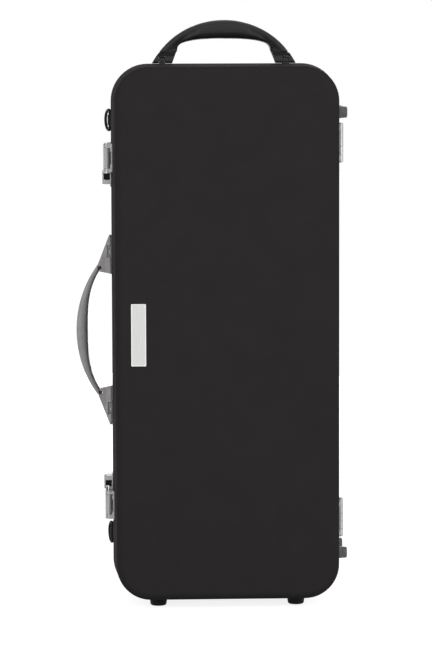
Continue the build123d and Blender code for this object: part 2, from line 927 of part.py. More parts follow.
with BuildPart() as latch_upper_bracket:
    bracket_block(
        hasp_start,
        hasp_start + bracket_length,
        hasp_axis_depth + (bracket_back - bracket_front) / 2,
        bracket_back + bracket_front,
        0,
        bracket_thickness,
    )
    for start, end in (
        (hasp_start, hasp_barrel_inset - knuckle_gap),
        (hasp_end - hasp_barrel_inset + hasp_inset + knuckle_gap, hasp_start + bracket_length),
    ):
        bracket_block(
            start, end, axis_in_lid.Y, 2 * hasp_barrel_radius, 0, axis_in_lid.Z
        )
        with BuildSketch(barrel_plane.offset(start)):
            Circle(hasp_barrel_radius)
        extrude(amount=end - start)
    with BuildSketch(barrel_plane):
        Circle(hasp_pin_radius + turn_play)
    extrude(amount=latch_length, mode=Mode.SUBTRACT)
    for inset in (bracket_rivet_inset, bracket_length - bracket_rivet_inset):
        with BuildSketch(at(lid_left, -(latch_top - hasp_inset - inset), bracket_rivet_y)):
            Circle(rivet_radius + rivet_play)
        extrude(amount=2 * bracket_thickness, mode=Mode.SUBTRACT)

with BuildPart() as latch_upper_pin:
    with BuildSketch(barrel_plane.offset(hasp_start)):
        Circle(hasp_pin_radius)
    extrude(amount=bracket_length)

for piece, name in (
    (latch_upper_case, "case"),
    (latch_upper_bolt, "bolt"),
    (latch_upper_button, "button"),
    (latch_upper_spring, "spring"),
    (latch_upper_hasp, "hasp"),
    (latch_upper_bracket, "bracket"),
    (latch_upper_pin, "pin"),
):
    save(piece, f"latch_upper_{name}")
    save(mirrored(piece), f"latch_lower_{name}")

# Side handle. In its plane x runs up the case, y outwards and z towards the lid.
left_wall = wall(LEFT, BASE)
top_wall = wall(TOP, BASE)
handle_left = Plane(
    origin=left_wall.from_local_coords(Vector(0, handle_depth, 0)),
    x_dir=(0, 0, 1),
    z_dir=-left_wall.y_dir,
)
handle_top = Plane(
    origin=top_wall.from_local_coords(Vector(0, handle_depth, 0)),
    x_dir=(1, 0, 0),
    z_dir=-top_wall.y_dir,
)


def across(plane, x=0.0):
    """The plane of a handle's section at x: x towards the lid, y out of the wall."""
    origin = plane.from_local_coords(Vector(x, 0, 0))
    return Plane(origin=origin, x_dir=plane.z_dir, z_dir=-plane.x_dir)


def make_grip(plane, stations, width, end_width):
    """A grip lofted through rounded sections from inner to outer points of its outline.

    One half is lofted from a station beyond the middle, cut there and mirrored.
    """
    with BuildPart() as grip:
        for share, inner, outer in stations:
            start = plane.from_local_coords(Vector(*inner))
            end = plane.from_local_coords(Vector(*outer))
            width_line = end - start
            section = Plane(
                origin=(start + end) / 2, x_dir=width_line, z_dir=width_line.cross(plane.z_dir)
            )
            with BuildSketch(section):
                height = width_line.length
                wide = width + (end_width - width) * share**2
                RectangleRounded(height, wide, grip_roundness * min(height, wide))
        loft()
        split(bisect_by=across(plane), keep=Keep.BOTTOM)
        mirror(about=across(plane))
    return grip


def add_tenons(x, y, angle, width):
    """A tenon at each end of the grip that is being built, drawn in the handle's plane."""
    for sign in (-1, 1):
        with Locations(Location((sign * x, y), sign * angle)):
            with Locations((0, (tenon_root - tenon_length) / 2)):
                Rectangle(width, tenon_root + tenon_length)


shares = [i / grip_stations for i in range(-1, grip_stations + 1)]
side_grip_low = side_grip_end_reach - side_grip_end_drop
side_grip_back = side_grip_half - side_grip_end_length
side_grip_inner = side_handle_reach - side_grip_thickness
side_bow = side_handle_reach - side_grip_end_reach
side_radius = (side_grip_half**2 + side_bow**2) / (2 * side_bow)


def side_station(share):
    """The inner and outer points of the side grip at a share of its half length."""
    fall = (side_grip_inner - side_grip_low) * abs(share) ** side_grip_bow
    outer_x = side_grip_half * share
    outer_y = side_handle_reach - side_radius + sqrt(side_radius**2 - outer_x**2)
    return share, (side_grip_back * share, side_grip_inner - fall), (outer_x, outer_y)


side_end_angle = degrees(atan2(side_grip_end_drop, side_grip_end_length))
side_end_x = side_grip_half - side_grip_end_length / 2
side_end_y = side_grip_end_reach - side_grip_end_drop / 2
side_stations = [side_station(share) for share in shares]
with BuildPart() as side_handle_grip:
    add(make_grip(handle_left, side_stations, side_grip_width, side_grip_end_width).part)
    with BuildSketch(handle_left):
        add_tenons(side_end_x, side_end_y, side_end_angle, tenon_width)
    extrude(amount=tenon_depth / 2, both=True)
save(side_handle_grip, "side_handle_grip")

with BuildPart() as side_shoe_upper:
    with BuildSketch(handle_left):
        foot = side_axis_lift - side_knuckle_radius
        with BuildLine():
            Polyline(
                (side_handle_half, foot),
                (side_handle_half, foot + side_shoe_tip),
                (side_grip_half, side_grip_end_reach - shoe_gap),
                (side_grip_back, side_grip_low - shoe_gap),
                (side_shoe_inner, foot),
                close=True,
            )
        make_face()
    extrude(amount=side_grip_width, both=True)
    with BuildSketch(across(handle_left)):
        with Locations((0, side_axis_lift)):
            Circle(side_knuckle_radius)
        with BuildLine():
            wide = side_grip_end_width / 2
            neck = side_shoe_neck_width / 2
            Polyline(
                (-side_knuckle_radius, side_axis_lift),
                (side_knuckle_radius, side_axis_lift),
                (neck, side_shoe_neck),
                (wide, side_grip_end_reach),
                (-wide, side_grip_end_reach),
                (-neck, side_shoe_neck),
                close=True,
            )
        make_face()
    extrude(amount=2 * side_handle_half, both=True, mode=Mode.INTERSECT)
    with BuildSketch(handle_left):
        with Locations((side_ear_offset, 0)):
            slot_top = side_axis_lift + side_knuckle_radius + ear_gap
            Rectangle(side_ear_length + 2 * ear_gap, 2 * slot_top)
        with Locations(Location((side_end_x, side_end_y), side_end_angle)):
            Rectangle(tenon_width + 2 * tenon_play, 2 * (tenon_length + shoe_gap))
    extrude(amount=side_grip_width, both=True, mode=Mode.SUBTRACT)
    with BuildSketch(across(handle_left, side_ear_offset + side_pin_length / 2)):
        with Locations((0, side_axis_lift)):
            Circle(side_pin_radius + turn_play)
    extrude(amount=side_pin_length, mode=Mode.SUBTRACT)
save(side_shoe_upper, "side_shoe_upper")
save(mirrored(side_shoe_upper), "side_shoe_lower")


def make_ear(plane, wall_plane, offset, length, lift, radius, pin_radius):
    """A riveted plate with an upstanding ear for a handle's pin."""
    with BuildPart() as ear:
        with BuildSketch(plane):
            with Locations((offset, plate_thickness / 2)):
                Rectangle(length, plate_thickness)
        extrude(amount=plate_width / 2, both=True)
        with BuildSketch(across(plane, offset + length / 2)):
            with Locations((0, lift)):
                Circle(radius)
            with Locations((0, lift / 2)):
                Rectangle(2 * radius, lift)
        extrude(amount=length)
        with BuildSketch(across(plane, offset + length / 2)):
            with Locations((0, lift)):
                Circle(pin_radius + turn_play)
        extrude(amount=length, mode=Mode.SUBTRACT)
        for end in (-1, 1):
            middle_x = wall_plane.to_local_coords(plane.from_local_coords(Vector(offset, 0, 0))).X
            with BuildSketch(at(wall_plane, middle_x, handle_depth + end * plate_rivet_offset)):
                Circle(rivet_radius + rivet_play)
            extrude(amount=2 * plate_thickness, mode=Mode.SUBTRACT)
    return ear


side_ear_upper = make_ear(
    handle_left,
    left_wall,
    side_ear_offset,
    side_ear_length,
    side_axis_lift,
    side_knuckle_radius,
    side_pin_radius,
)
save(side_ear_upper, "side_ear_upper")
save(mirrored(side_ear_upper), "side_ear_lower")

with BuildPart() as side_handle_pins:
    for sign in (-1, 1):
        with BuildSketch(across(handle_left, sign * side_ear_offset + side_pin_length / 2)):
            with Locations((0, side_axis_lift)):
                Circle(side_pin_radius)
        extrude(amount=side_pin_length)
save(side_handle_pins, "side_handle_pins")

# Top handle: the same build across the top, in a plane with x to the right
top_radius = (top_handle_half**2 + top_handle_reach**2) / (2 * top_handle_reach)
top_cap_outer = sqrt(top_radius**2 - (top_cap_height + top_radius - top_handle_reach) ** 2)
top_seam_y = top_cap_height + top_cap_rise
top_end_x = (top_cap_outer + top_cap_top_inner) / 2
top_end_y = top_cap_height + top_cap_rise / 2
top_end_angle = -degrees(atan2(top_cap_rise, top_cap_outer - top_cap_top_inner))
top_grip_angle = asin(top_cap_outer / top_radius)
top_grip_inner = top_cap_top_inner + top_grip_step


def top_station(share):
    """The inner and outer points of the top grip at a share of its half length."""
    turn = share * top_grip_angle
    bend = radians(abs(share) * 90)
    power = 2 / top_grip_bow
    inner_x = copysign(top_grip_inner * sin(bend) ** power, share)
    inner_y = top_seam_y + (top_grip_underside - top_seam_y) * cos(bend) ** power
    outer_y = top_handle_reach - top_radius + top_radius * cos(turn)
    return share, (inner_x, inner_y), (top_radius * sin(turn), outer_y)


top_stations = [top_station(share) for share in shares]
with BuildPart() as top_handle_grip:
    add(make_grip(handle_top, top_stations, top_grip_depth, top_grip_end_depth).part)
    with BuildSketch(handle_top):
        add_tenons(top_end_x, top_end_y, top_end_angle, 2 * tenon_width)
    extrude(amount=tenon_depth / 2, both=True)
save(top_handle_grip, "top_handle_grip")

with BuildPart() as top_cap_right:
    with BuildSketch(handle_top):
        foot = top_axis_lift - top_knuckle_radius
        foot_x = sqrt(top_radius**2 - (foot + top_radius - top_handle_reach) ** 2)
        with BuildLine():
            mid_y = (foot + top_cap_height - shoe_gap) / 2
            mid_x = sqrt(top_radius**2 - (mid_y + top_radius - top_handle_reach) ** 2)
            ThreePointArc((foot_x, foot), (mid_x, mid_y), (top_cap_outer, top_cap_height - shoe_gap))
            Polyline(
                (top_cap_outer, top_cap_height - shoe_gap),
                (top_cap_top_inner, top_seam_y - shoe_gap),
                (top_cap_inner, foot),
                (foot_x, foot),
            )
        make_face()
    extrude(amount=top_grip_depth, both=True)
    with BuildSketch(across(handle_top)):
        with Locations((0, top_axis_lift)):
            Circle(top_knuckle_radius)
        with BuildLine():
            wide = top_grip_end_depth / 2
            neck = top_cap_neck_width / 2
            Polyline(
                (-top_knuckle_radius, top_axis_lift),
                (top_knuckle_radius, top_axis_lift),
                (neck, top_cap_neck),
                (wide, top_seam_y),
                (-wide, top_seam_y),
                (-neck, top_cap_neck),
                close=True,
            )
        make_face()
    extrude(amount=2 * top_handle_half, both=True, mode=Mode.INTERSECT)
    with BuildSketch(handle_top):
        with Locations((top_ear_offset, 0)):
            slot_top = top_axis_lift + top_ear_radius + ear_gap
            Rectangle(top_ear_length + 2 * ear_gap, 2 * slot_top)
    extrude(amount=top_grip_depth, both=True, mode=Mode.SUBTRACT)
    with BuildSketch(handle_top):
        with Locations(Location((top_end_x, top_end_y), top_end_angle)):
            Rectangle(2 * (tenon_width + tenon_play), 2 * (tenon_length + shoe_gap))
    extrude(amount=tenon_depth / 2 + tenon_play, both=True, mode=Mode.SUBTRACT)
    with BuildSketch(across(handle_top, top_ear_offset + top_pin_length / 2)):
        with Locations((0, top_axis_lift)):
            Circle(top_pin_radius + turn_play)
    extrude(amount=top_pin_length, mode=Mode.SUBTRACT)
save(top_cap_right, "top_cap_right")
save(leftright(top_cap_right), "top_cap_left")

top_ear_right = make_ear(
    handle_top,
    top_wall,
    top_ear_offset,
    top_ear_length,
    top_axis_lift,
    top_ear_radius,
    top_pin_radius,
)
save(top_ear_right, "top_ear_right")
save(leftright(top_ear_right), "top_ear_left")

with BuildPart() as top_handle_pins:
    for sign in (-1, 1):
        with BuildSketch(across(handle_top, sign * top_ear_offset + top_pin_length / 2)):
            with Locations((0, top_axis_lift)):
                Circle(top_pin_radius)
        extrude(amount=top_pin_length)
save(top_handle_pins, "top_handle_pins")


# D-rings, leaning back against the wall in their clips
def ring_spot(side, sign):
    """Where a D-ring's bar crosses the wall."""
    return at(wall(side, BASE), sign * ring_offset, ring_depth)


def make_ring(spot, ring_lean):
    """A ring of round wire: a straight bar, two tight corners and a half round."""
    lean = radians(ring_lean)
    bow = spot.y_dir * cos(lean) + spot.z_dir * sin(lean)
    plane = Plane(
        origin=spot.from_local_coords(Vector(0, 0, ring_axis_lift)),
        x_dir=spot.x_dir,
        z_dir=spot.x_dir.cross(bow),
    )
    bar = ring_half_length - ring_corner
    with BuildPart() as ring:
        with BuildLine(plane) as loop:
            Line((-bar, 0), (bar, 0))
            CenterArc((bar, ring_corner), ring_corner, -90, 90)
            CenterArc((0, ring_corner), ring_half_length, 0, 180)
            CenterArc((-bar, ring_corner), ring_corner, 180, 90)
        path = loop.wire()
        with BuildSketch(Plane(origin=path @ 0, z_dir=path % 0)):
            Circle(ring_wire)
        sweep(path=path)
    return ring


for side, side_name, leans in (
    (LEFT, "left", (upper_left_ring_lean, lower_left_ring_lean)),
    (RIGHT, "right", (right_ring_lean, right_ring_lean)),
):
    for height, height_name, ring_lean in zip((1, -1), ("upper", "lower"), leans):
        save(make_ring(ring_spot(side, height), ring_lean), f"d_ring_{height_name}_{side_name}")

with BuildPart() as d_ring_clips:
    clip_bore = ring_wire + turn_play
    for side in (LEFT, RIGHT):
        for sign in (-1, 1):
            spot = ring_spot(side, sign)
            end_plane = Plane(
                origin=spot.from_local_coords(Vector(-clip_length / 2, 0, 0)),
                x_dir=spot.y_dir,
                z_dir=spot.x_dir,
            )
            with BuildSketch(end_plane):
                with Locations((clip_plate_width / 2, clip_thickness / 2)):
                    Rectangle(clip_plate_width, clip_thickness)
                with Locations((0, ring_axis_lift)):
                    Circle(clip_bore + clip_wall)
                with Locations((0, ring_axis_lift / 2)):
                    Rectangle(2 * (clip_bore + clip_wall), ring_axis_lift)
                with Locations((0, ring_axis_lift)):
                    Circle(clip_bore, mode=Mode.SUBTRACT)
            extrude(amount=clip_length)
            with BuildSketch(at(spot, 0, clip_rivet_offset)):
                Circle(rivet_radius + rivet_play)
            extrude(amount=2 * clip_thickness, mode=Mode.SUBTRACT)
save(d_ring_clips, "d_ring_clips")


# Feet: tapered rubber studs, cut to the drafted wall
def make_foot(spot, outward, reach, root_radius, tip_radius, rounding):
    edge = body_origin + outward * reach
    height = (edge - spot.origin).dot(outward)
    tip = spot.origin + outward * height
    axial = Plane(origin=tip, x_dir=(0, 1, 0), z_dir=Vector(0, 1, 0).cross(-outward))
    with BuildPart() as foot:
        with BuildSketch(axial) as profile:
            with BuildLine():
                Polyline(
                    (0, 0),
                    (tip_radius, 0),
                    (root_radius, height),
                    (root_radius, height + rounding),
                    (0, height + rounding),
                    close=True,
                )
            make_face()
            fillet(profile.vertices().sort_by_distance((tip_radius, 0, 0))[0], rounding)
        revolve(axis=Axis(tip, outward))
        split(bisect_by=spot, keep=Keep.TOP)
        with BuildSketch(spot):
            Circle(foot_screw_radius + rivet_play)
        extrude(amount=height, mode=Mode.SUBTRACT)
        with BuildSketch(at(spot, 0, 0, height - foot_screw_recess)):
            Circle(foot_screw_head_radius + fit_gap)
        extrude(amount=2 * foot_screw_recess, mode=Mode.SUBTRACT)
    return foot


BOTTOM_WAY = (Vector(0, 0, -1), case_height / 2 + foot_reach)
SIDE_WAY = (Vector(1, 0, 0), case_width / 2 + side_foot_reach)
bottom_sizes = (foot_radius, foot_tip_radius, foot_round)
side_sizes = (side_foot_radius, side_foot_tip_radius, side_foot_round)
for half, half_name in ((LID, "lid"), (BASE, "base")):
    bottom_spots, side_spots = foot_spots(half)
    bottom_feet = [make_foot(spot, *BOTTOM_WAY, *bottom_sizes) for spot in bottom_spots]
    side_feet = [make_foot(spot, *SIDE_WAY, *side_sizes) for spot in side_spots]
    with BuildPart() as bottom_group:
        add([foot.part for foot in bottom_feet])
    save(bottom_group, f"{half_name}_bottom_feet")
    with BuildPart() as side_group:
        add([foot.part for foot in side_feet])
    save(side_group, f"{half_name}_side_feet")

    with BuildPart() as foot_screws:
        for spots, (outward, reach) in ((bottom_spots, BOTTOM_WAY), (side_spots, SIDE_WAY)):
            for spot in spots:
                height = (body_origin + outward * reach - spot.origin).dot(outward)
                with BuildSketch(at(spot, 0, 0, height - foot_screw_recess)):
                    Circle(foot_screw_head_radius)
                extrude(amount=foot_screw_head_height)
                with BuildSketch(at(spot, 0, 0, -shell_wall)):
                    Circle(foot_screw_radius)
                extrude(amount=shell_wall + height - foot_screw_recess)
    save(foot_screws, f"{half_name}_foot_screws")
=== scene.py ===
import math

import bmesh
import bpy
from mathutils import Matrix, Vector


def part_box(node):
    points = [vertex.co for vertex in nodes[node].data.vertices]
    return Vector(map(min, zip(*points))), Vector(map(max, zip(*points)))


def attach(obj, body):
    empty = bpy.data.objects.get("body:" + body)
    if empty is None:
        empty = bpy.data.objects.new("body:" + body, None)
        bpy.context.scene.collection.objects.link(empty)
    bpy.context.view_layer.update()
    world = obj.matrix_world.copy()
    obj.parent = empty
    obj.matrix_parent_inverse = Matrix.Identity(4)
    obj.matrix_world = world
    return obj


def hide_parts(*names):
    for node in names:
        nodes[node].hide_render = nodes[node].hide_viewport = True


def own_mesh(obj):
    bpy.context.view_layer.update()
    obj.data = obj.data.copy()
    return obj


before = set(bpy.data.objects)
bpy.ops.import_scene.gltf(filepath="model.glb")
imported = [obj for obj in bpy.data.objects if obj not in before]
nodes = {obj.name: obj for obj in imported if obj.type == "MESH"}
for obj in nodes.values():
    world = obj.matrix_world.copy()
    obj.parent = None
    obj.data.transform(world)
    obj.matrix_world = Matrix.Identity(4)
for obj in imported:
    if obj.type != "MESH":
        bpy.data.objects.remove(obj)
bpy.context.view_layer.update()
scene = bpy.context.scene

# Camera: fitted to the photograph, 432 x 647, with the focal length in its pixels
EYE = Vector((-0.1505, -3.6049, 0.6636))
YAW, PITCH, ROLL = math.radians(2.501), math.radians(5.244), math.radians(-0.185)
FOCAL, IMAGE_HEIGHT = 3028.0, 647.0
SENSOR, FAR = 24.0, 50.0

forward = Vector(
    (math.sin(YAW) * math.cos(PITCH), math.cos(YAW) * math.cos(PITCH), -math.sin(PITCH))
)
level = Vector((math.cos(YAW), -math.sin(YAW), 0.0))
upright = level.cross(forward)
right = level * math.cos(ROLL) + upright * math.sin(ROLL)
up = upright * math.cos(ROLL) - level * math.sin(ROLL)
turn = Matrix((right, up, -forward)).transposed().to_4x4()
camera_data = bpy.data.cameras.new("camera")
camera_data.sensor_fit = "VERTICAL"
camera_data.sensor_height = SENSOR
camera_data.lens = FOCAL * SENSOR / IMAGE_HEIGHT
camera_data.clip_end = FAR
camera = bpy.data.objects.new("camera", camera_data)
camera.matrix_world = Matrix.Translation(EYE) @ turn
scene.collection.objects.link(camera)
scene.camera = camera
scene.view_settings.view_transform = "Standard"

# Materials
NOISE_LOW, NOISE_HIGH = 0.3, 0.7  # a noise value seldom lies outside these
EVEN, BRUSHED, BADGE_BRUSHED = (1, 1, 1), (1, 1, 0.03), (1, 1, 0.02)  # scales of a grain
MIX_FIRST, MIX_SECOND, MIX_RESULT = 6, 7, 2  # colour sockets of the Mix node
BEVEL_SAMPLES = 4


class Shader:
    """A node material built around one Principled shader."""

    def __init__(self, name, color, roughness, **sockets):
        self.material = bpy.data.materials.new(name)
        self.material.use_nodes = True
        self.tree = self.material.node_tree
        self.tree.nodes.clear()
        self.bsdf = self.add("ShaderNodeBsdfPrincipled")
        self.link(self.bsdf.outputs[0], self.add("ShaderNodeOutputMaterial"), "Surface")
        self.coords = self.add("ShaderNodeTexCoord").outputs["Object"]
        self.color = color
        self.normal = None
        self.bsdf.inputs["Base Color"].default_value = (*color, 1)
        self.bsdf.inputs["Roughness"].default_value = roughness
        for key, value in sockets.items():
            self.bsdf.inputs[key.replace("_", " ")].default_value = value

    def add(self, kind, **values):
        """A new node, each value put on its property or its socket of that name."""
        node = self.tree.nodes.new(kind)
        for key, value in values.items():
            if hasattr(node, key):
                setattr(node, key, value)
            else:
                node.inputs[key.replace("_", " ")].default_value = value
        return node

    def link(self, output, node, socket):
        self.tree.links.new(output, node.inputs[socket])

    def calc(self, operation, *values):
        """A maths node's result from numbers and outputs."""
        node = self.add("ShaderNodeMath", operation=operation)
        for socket, value in enumerate(values):
            if isinstance(value, float):
                node.inputs[socket].default_value = value
            else:
                self.link(value, node, socket)
        return node.outputs[0]

    def along(self, axis):
        """The point's coordinate along an axis."""
        split = self.add("ShaderNodeSeparateXYZ")
        self.link(self.coords, split, "Vector")
        return split.outputs[axis]

    def noise(self, scale, detail, stretch=EVEN, roughness=0.5):
        mapping = self.add("ShaderNodeMapping", Scale=stretch)
        self.link(self.coords, mapping, "Vector")
        node = self.add("ShaderNodeTexNoise", Scale=scale, Detail=detail, Roughness=roughness)
        self.link(mapping.outputs[0], node, "Vector")
        return node.outputs["Fac"]

    def cells(self, scale, feature="F1"):
        node = self.add("ShaderNodeTexVoronoi", feature=feature, Scale=scale)
        self.link(self.coords, node, "Vector")
        return node.outputs["Distance"]

    def color_between(self, value, low, high, first, last):
        """Base colour that runs from the first to the last as the value rises."""
        node = self.add("ShaderNodeValToRGB")
        for end, position, color in zip(node.color_ramp.elements, (low, high), (first, last)):
            end.position = position
            end.color = (*color, 1)
        self.link(value, node, "Fac")
        self.link(node.outputs["Color"], self.bsdf, "Base Color")

    def tint(self, value, dark, light, low=NOISE_LOW, high=NOISE_HIGH):
        """Base colour that runs from dark to light shares of the main colour."""
        first = [c * dark for c in self.color]
        last = [min(1, c * light) for c in self.color]
        self.color_between(value, low, high, first, last)

    def gloss(self, value, rough_low, rough_high):
        """Roughness that follows a noise value."""
        node = self.add(
            "ShaderNodeMapRange",
            From_Min=NOISE_LOW, From_Max=NOISE_HIGH, To_Min=rough_low, To_Max=rough_high,
        )
        self.link(value, node, "Value")
        self.link(node.outputs[0], self.bsdf, "Roughness")

    def bump(self, value, depth, strength):
        """One more layer of relief over those before it."""
        node = self.add("ShaderNodeBump", Strength=strength, Distance=depth)
        self.link(value, node, "Height")
        if self.normal:
            self.link(self.normal, node, "Normal")
        self.normal = node.outputs[0]
        self.link(self.normal, self.bsdf, "Normal")

    def swap_color(self, mask, color):
        """Put another base colour where the mask is 1."""
        mix = self.add("ShaderNodeMix", data_type="RGBA")
        self.link(mask, mix, "Factor")
        self.link(self.bsdf.inputs["Base Color"].links[0].from_socket, mix, MIX_FIRST)
        mix.inputs[MIX_SECOND].default_value = (*color, 1)
        self.link(mix.outputs[MIX_RESULT], self.bsdf, "Base Color")

    def blacken(self, axis, limit, color):
        """Put a near black where the coordinate along an axis is over the limit."""
        self.swap_color(self.calc("GREATER_THAN", self.along(axis), limit), color)

    def round_edges(self, radius):
        """Edges that look rounded. It comes before any bump."""
        node = self.add("ShaderNodeBevel", Radius=radius, samples=BEVEL_SAMPLES)
        self.normal = node.outputs[0]
        self.link(self.normal, self.bsdf, "Normal")


def shell_plastic():
    """Matt black moulding with a fine pebbled grain."""
    s = Shader("shell_plastic", (0.0275, 0.0251, 0.0257), 0.85, Specular_IOR_Level=0.025)
    s.tint(s.noise(35, 4), 0.96, 1.04)
    s.gloss(s.noise(9, 3), 0.8, 0.9)
    s.bump(s.cells(820), 0.00012, 0.5)
    s.bump(s.noise(1500, 2), 0.00006, 0.5)
    return s.material


def painted_metal(name, color, roughness, shine=0.5):
    s = Shader(name, color, roughness, Specular_IOR_Level=shine)
    s.round_edges(0.0004)
    s.tint(s.noise(180, 3), 0.85, 1.2)
    s.gloss(s.noise(60, 3), roughness - 0.06, roughness + 0.08)
    s.bump(s.noise(2200, 1), 0.00003, 0.4)
    return s.material


def satin_steel(name, color, roughness, stretch=BRUSHED, metal=1.0, edge=0.0005, blacked=None):
    """Satin steel. Blacked holds the axis, limit and colour of an end that is blacked."""
    s = Shader(name, color, roughness, Metallic=metal)
    s.round_edges(edge)
    s.tint(s.noise(900, 2, stretch), 0.86, 1.08)
    if blacked:
        s.blacken(*blacked)
    s.gloss(s.noise(700, 2, stretch), roughness - 0.07, roughness + 0.1)
    s.bump(s.noise(2600, 1, stretch), 0.00002, 0.35)
    return s.material


def rubber(name, color, roughness, shine=0.4):
    s = Shader(name, color, roughness, Specular_IOR_Level=shine)
    s.tint(s.noise(260, 4), 0.75, 1.3)
    s.gloss(s.noise(90, 2), roughness - 0.1, roughness + 0.1)
    s.bump(s.noise(900, 3), 0.0001, 0.5)
    return s.material


def grip_plastic(name, color, roughness, blacked=None):
    """Satin moulding. Blacked holds the axis, limit and colour of an end that is painted near
    black as painted shade.
    """
    s = Shader(name, color, roughness, Specular_IOR_Level=0.45)
    s.round_edges(0.0006)
    s.tint(s.noise(120, 3), 0.92, 1.08)
    if blacked:
        s.blacken(*blacked)
    s.gloss(s.noise(40, 2), roughness - 0.04, roughness + 0.06)
    s.bump(s.noise(1800, 2), 0.00005, 0.3)
    return s.material


def leather(name, color, roughness):
    s = Shader(name, color, roughness, Specular_IOR_Level=0.24)
    pores = s.cells(760, "DISTANCE_TO_EDGE")
    s.tint(pores, 0.78, 1.1, 0.0, 0.35)
    s.gloss(s.noise(70, 3), roughness - 0.1, roughness + 0.1)
    s.bump(pores, 0.00014, 0.4)
    s.bump(s.noise(90, 3), 0.0006, 0.3)
    return s.material


def plush(name, color):
    s = Shader(
        name, color, 0.95,
        Specular_IOR_Level=0.1,
        Sheen_Weight=0.6, Sheen_Roughness=0.5, Sheen_Tint=(0.55, 0.6, 0.9, 1),
    )
    s.tint(s.noise(22, 5, roughness=0.7), 0.6, 1.45, 0.32, 0.68)
    s.bump(s.noise(1400, 3), 0.0005, 0.6)
    s.bump(s.noise(60, 4), 0.0012, 0.35)
    return s.material


# The badge's form and place, as the photograph has them
BADGE_WIDTH, BADGE_HEIGHT, BADGE_CORNER, BADGE_RIM = 0.0175, 0.0732, 0.001, 0.0012
BADGE_SHIFT = Vector((-0.0016, 0, 0.0012))
badge_low, badge_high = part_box("badge_plate")
badge_middle = (badge_low + badge_high) / 2 + BADGE_SHIFT


def badge_metal():
    """A satin plate with a painted highlight on its rim, where the raised rim catches the light.
    """
    s = Shader("badge_metal", (0.74, 0.74, 0.73), 0.42, Metallic=0.25, Specular_IOR_Level=0.5)
    rim_highlight_masks = []
    for axis, centre, reach in (
        ("X", badge_middle.x, BADGE_WIDTH / 2),
        ("Z", badge_middle.z, BADGE_HEIGHT / 2),
    ):
        away = s.calc("ABSOLUTE", s.calc("SUBTRACT", s.along(axis), centre))
        rim_highlight_masks.append(s.calc("GREATER_THAN", away, reach - BADGE_RIM))
    brushed = s.noise(1300, 2, BADGE_BRUSHED)
    s.color_between(brushed, NOISE_LOW, NOISE_HIGH, (0.68, 0.68, 0.67), (0.75, 0.75, 0.74))
    # painted highlight: the rim band is painted lighter than the plate
    s.swap_color(s.calc("MAXIMUM", *rim_highlight_masks), (0.93, 0.93, 0.92))
    s.bump(s.noise(2600, 1, BADGE_BRUSHED), 0.00002, 0.3)
    return s.material


def dress(material, *names):
    for name in names:
        mesh = nodes[name].data
        mesh.materials.clear()
        mesh.materials.append(material)


# The side grip's tenons are painted near black in their shoes, a painted shade for the dark gap
# there; the rivets of the top fittings are black
TENON_LENGTH, BLACK_BELOW_CAPS = 0.0052, 0.01
tenon_painted_shade = ("X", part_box("side_handle_grip")[1].x - TENON_LENGTH, (0.01, 0.01, 0.01))
rivet_black = ("Z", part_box("top_cap_left")[0].z - BLACK_BELOW_CAPS, (0.008, 0.008, 0.008))

steel = satin_steel("satin_steel", (0.47, 0.465, 0.46), 0.46, metal=0.55)
hinge_steel = satin_steel("hinge_steel", (0.38, 0.375, 0.37), 0.45)
rivet_steel = satin_steel(
    "rivet_steel", (0.46, 0.455, 0.45), 0.42, stretch=EVEN, edge=0.0004, blacked=rivet_black
)
dark = painted_metal("dark_steel", (0.006, 0.006, 0.006), 0.5, 0.12)
ear_black = painted_metal("ear_black", (0.03, 0.0285, 0.029), 0.5, 0.3)
ear_grey = painted_metal("ear_grey", (0.2, 0.2, 0.2), 0.5)
foot_rubber = rubber("foot_rubber", (0.009, 0.009, 0.0095), 0.65, 0.12)
dress(shell_plastic(), "lid_shell", "base_shell")
dress(painted_metal("rim_metal", (0.02, 0.02, 0.021), 0.45), "base_rim", "lid_rim")
dress(rubber("seal_rubber", (0.012, 0.012, 0.012), 0.7), "rim_seal")
dress(hinge_steel, "hinge_base_leaves", "hinge_lid_leaves", "hinge_pins")
dress(rivet_steel, "base_rivets", "lid_rivets")
dress(satin_steel("screw_steel", (0.5, 0.5, 0.5), 0.35), "lid_foot_screws", "base_foot_screws")
for end in ("upper", "lower"):
    dress(steel, *[f"latch_{end}_{piece}" for piece in ("case", "hasp", "bracket", "pin")])
    dress(dark, f"latch_{end}_bolt", f"d_ring_{end}_left", f"d_ring_{end}_right")
    dress(satin_steel(f"button_{end}", (0.42, 0.42, 0.42), 0.45), f"latch_{end}_button")
dress(dark, "d_ring_clips")
dress(ear_black, "top_ear_left", "top_ear_right", "top_handle_pins")
dress(ear_grey, "side_ear_upper", "side_ear_lower", "side_handle_pins")
# the grip's tenon end is painted near black: painted shade in the gap at its shoes
dress(grip_plastic("grip_graphite", (0.31, 0.31, 0.31), 0.4, tenon_painted_shade), "side_handle_grip")
dress(grip_plastic("shoe_grey", (0.56, 0.545, 0.54), 0.5), "side_shoe_upper", "side_shoe_lower")
dress(grip_plastic("cap_black", (0.042, 0.040, 0.0405), 0.5), "top_cap_left", "top_cap_right")
dress(foot_rubber, "lid_bottom_feet", "base_bottom_feet")
dress(rubber("stud_rubber", (0.12, 0.118, 0.119), 0.36), "lid_side_feet", "base_side_feet")

# Rebuilt pieces: each takes the place of its plain CAD solid
foam_plush = plush("foam_plush", (0.012, 0.018, 0.055))
tab_leather = leather("tab_leather", (0.02, 0.018, 0.017), 0.5)
grip_leather = leather("grip_leather", (0.0205, 0.0187, 0.0191), 0.44)


def soft_copy(node):
    """A new piece with a copy of a node's mesh, its doubled points joined."""
    piece = bpy.data.objects.new(f"{node}_soft", nodes[node].data.copy())
    scene.collection.objects.link(piece)
    form = bmesh.new()
    form.from_mesh(piece.data)
    bmesh.ops.remove_doubles(form, verts=form.verts, dist=1e-6)
    form.to_mesh(piece.data)
    form.free()
    return piece


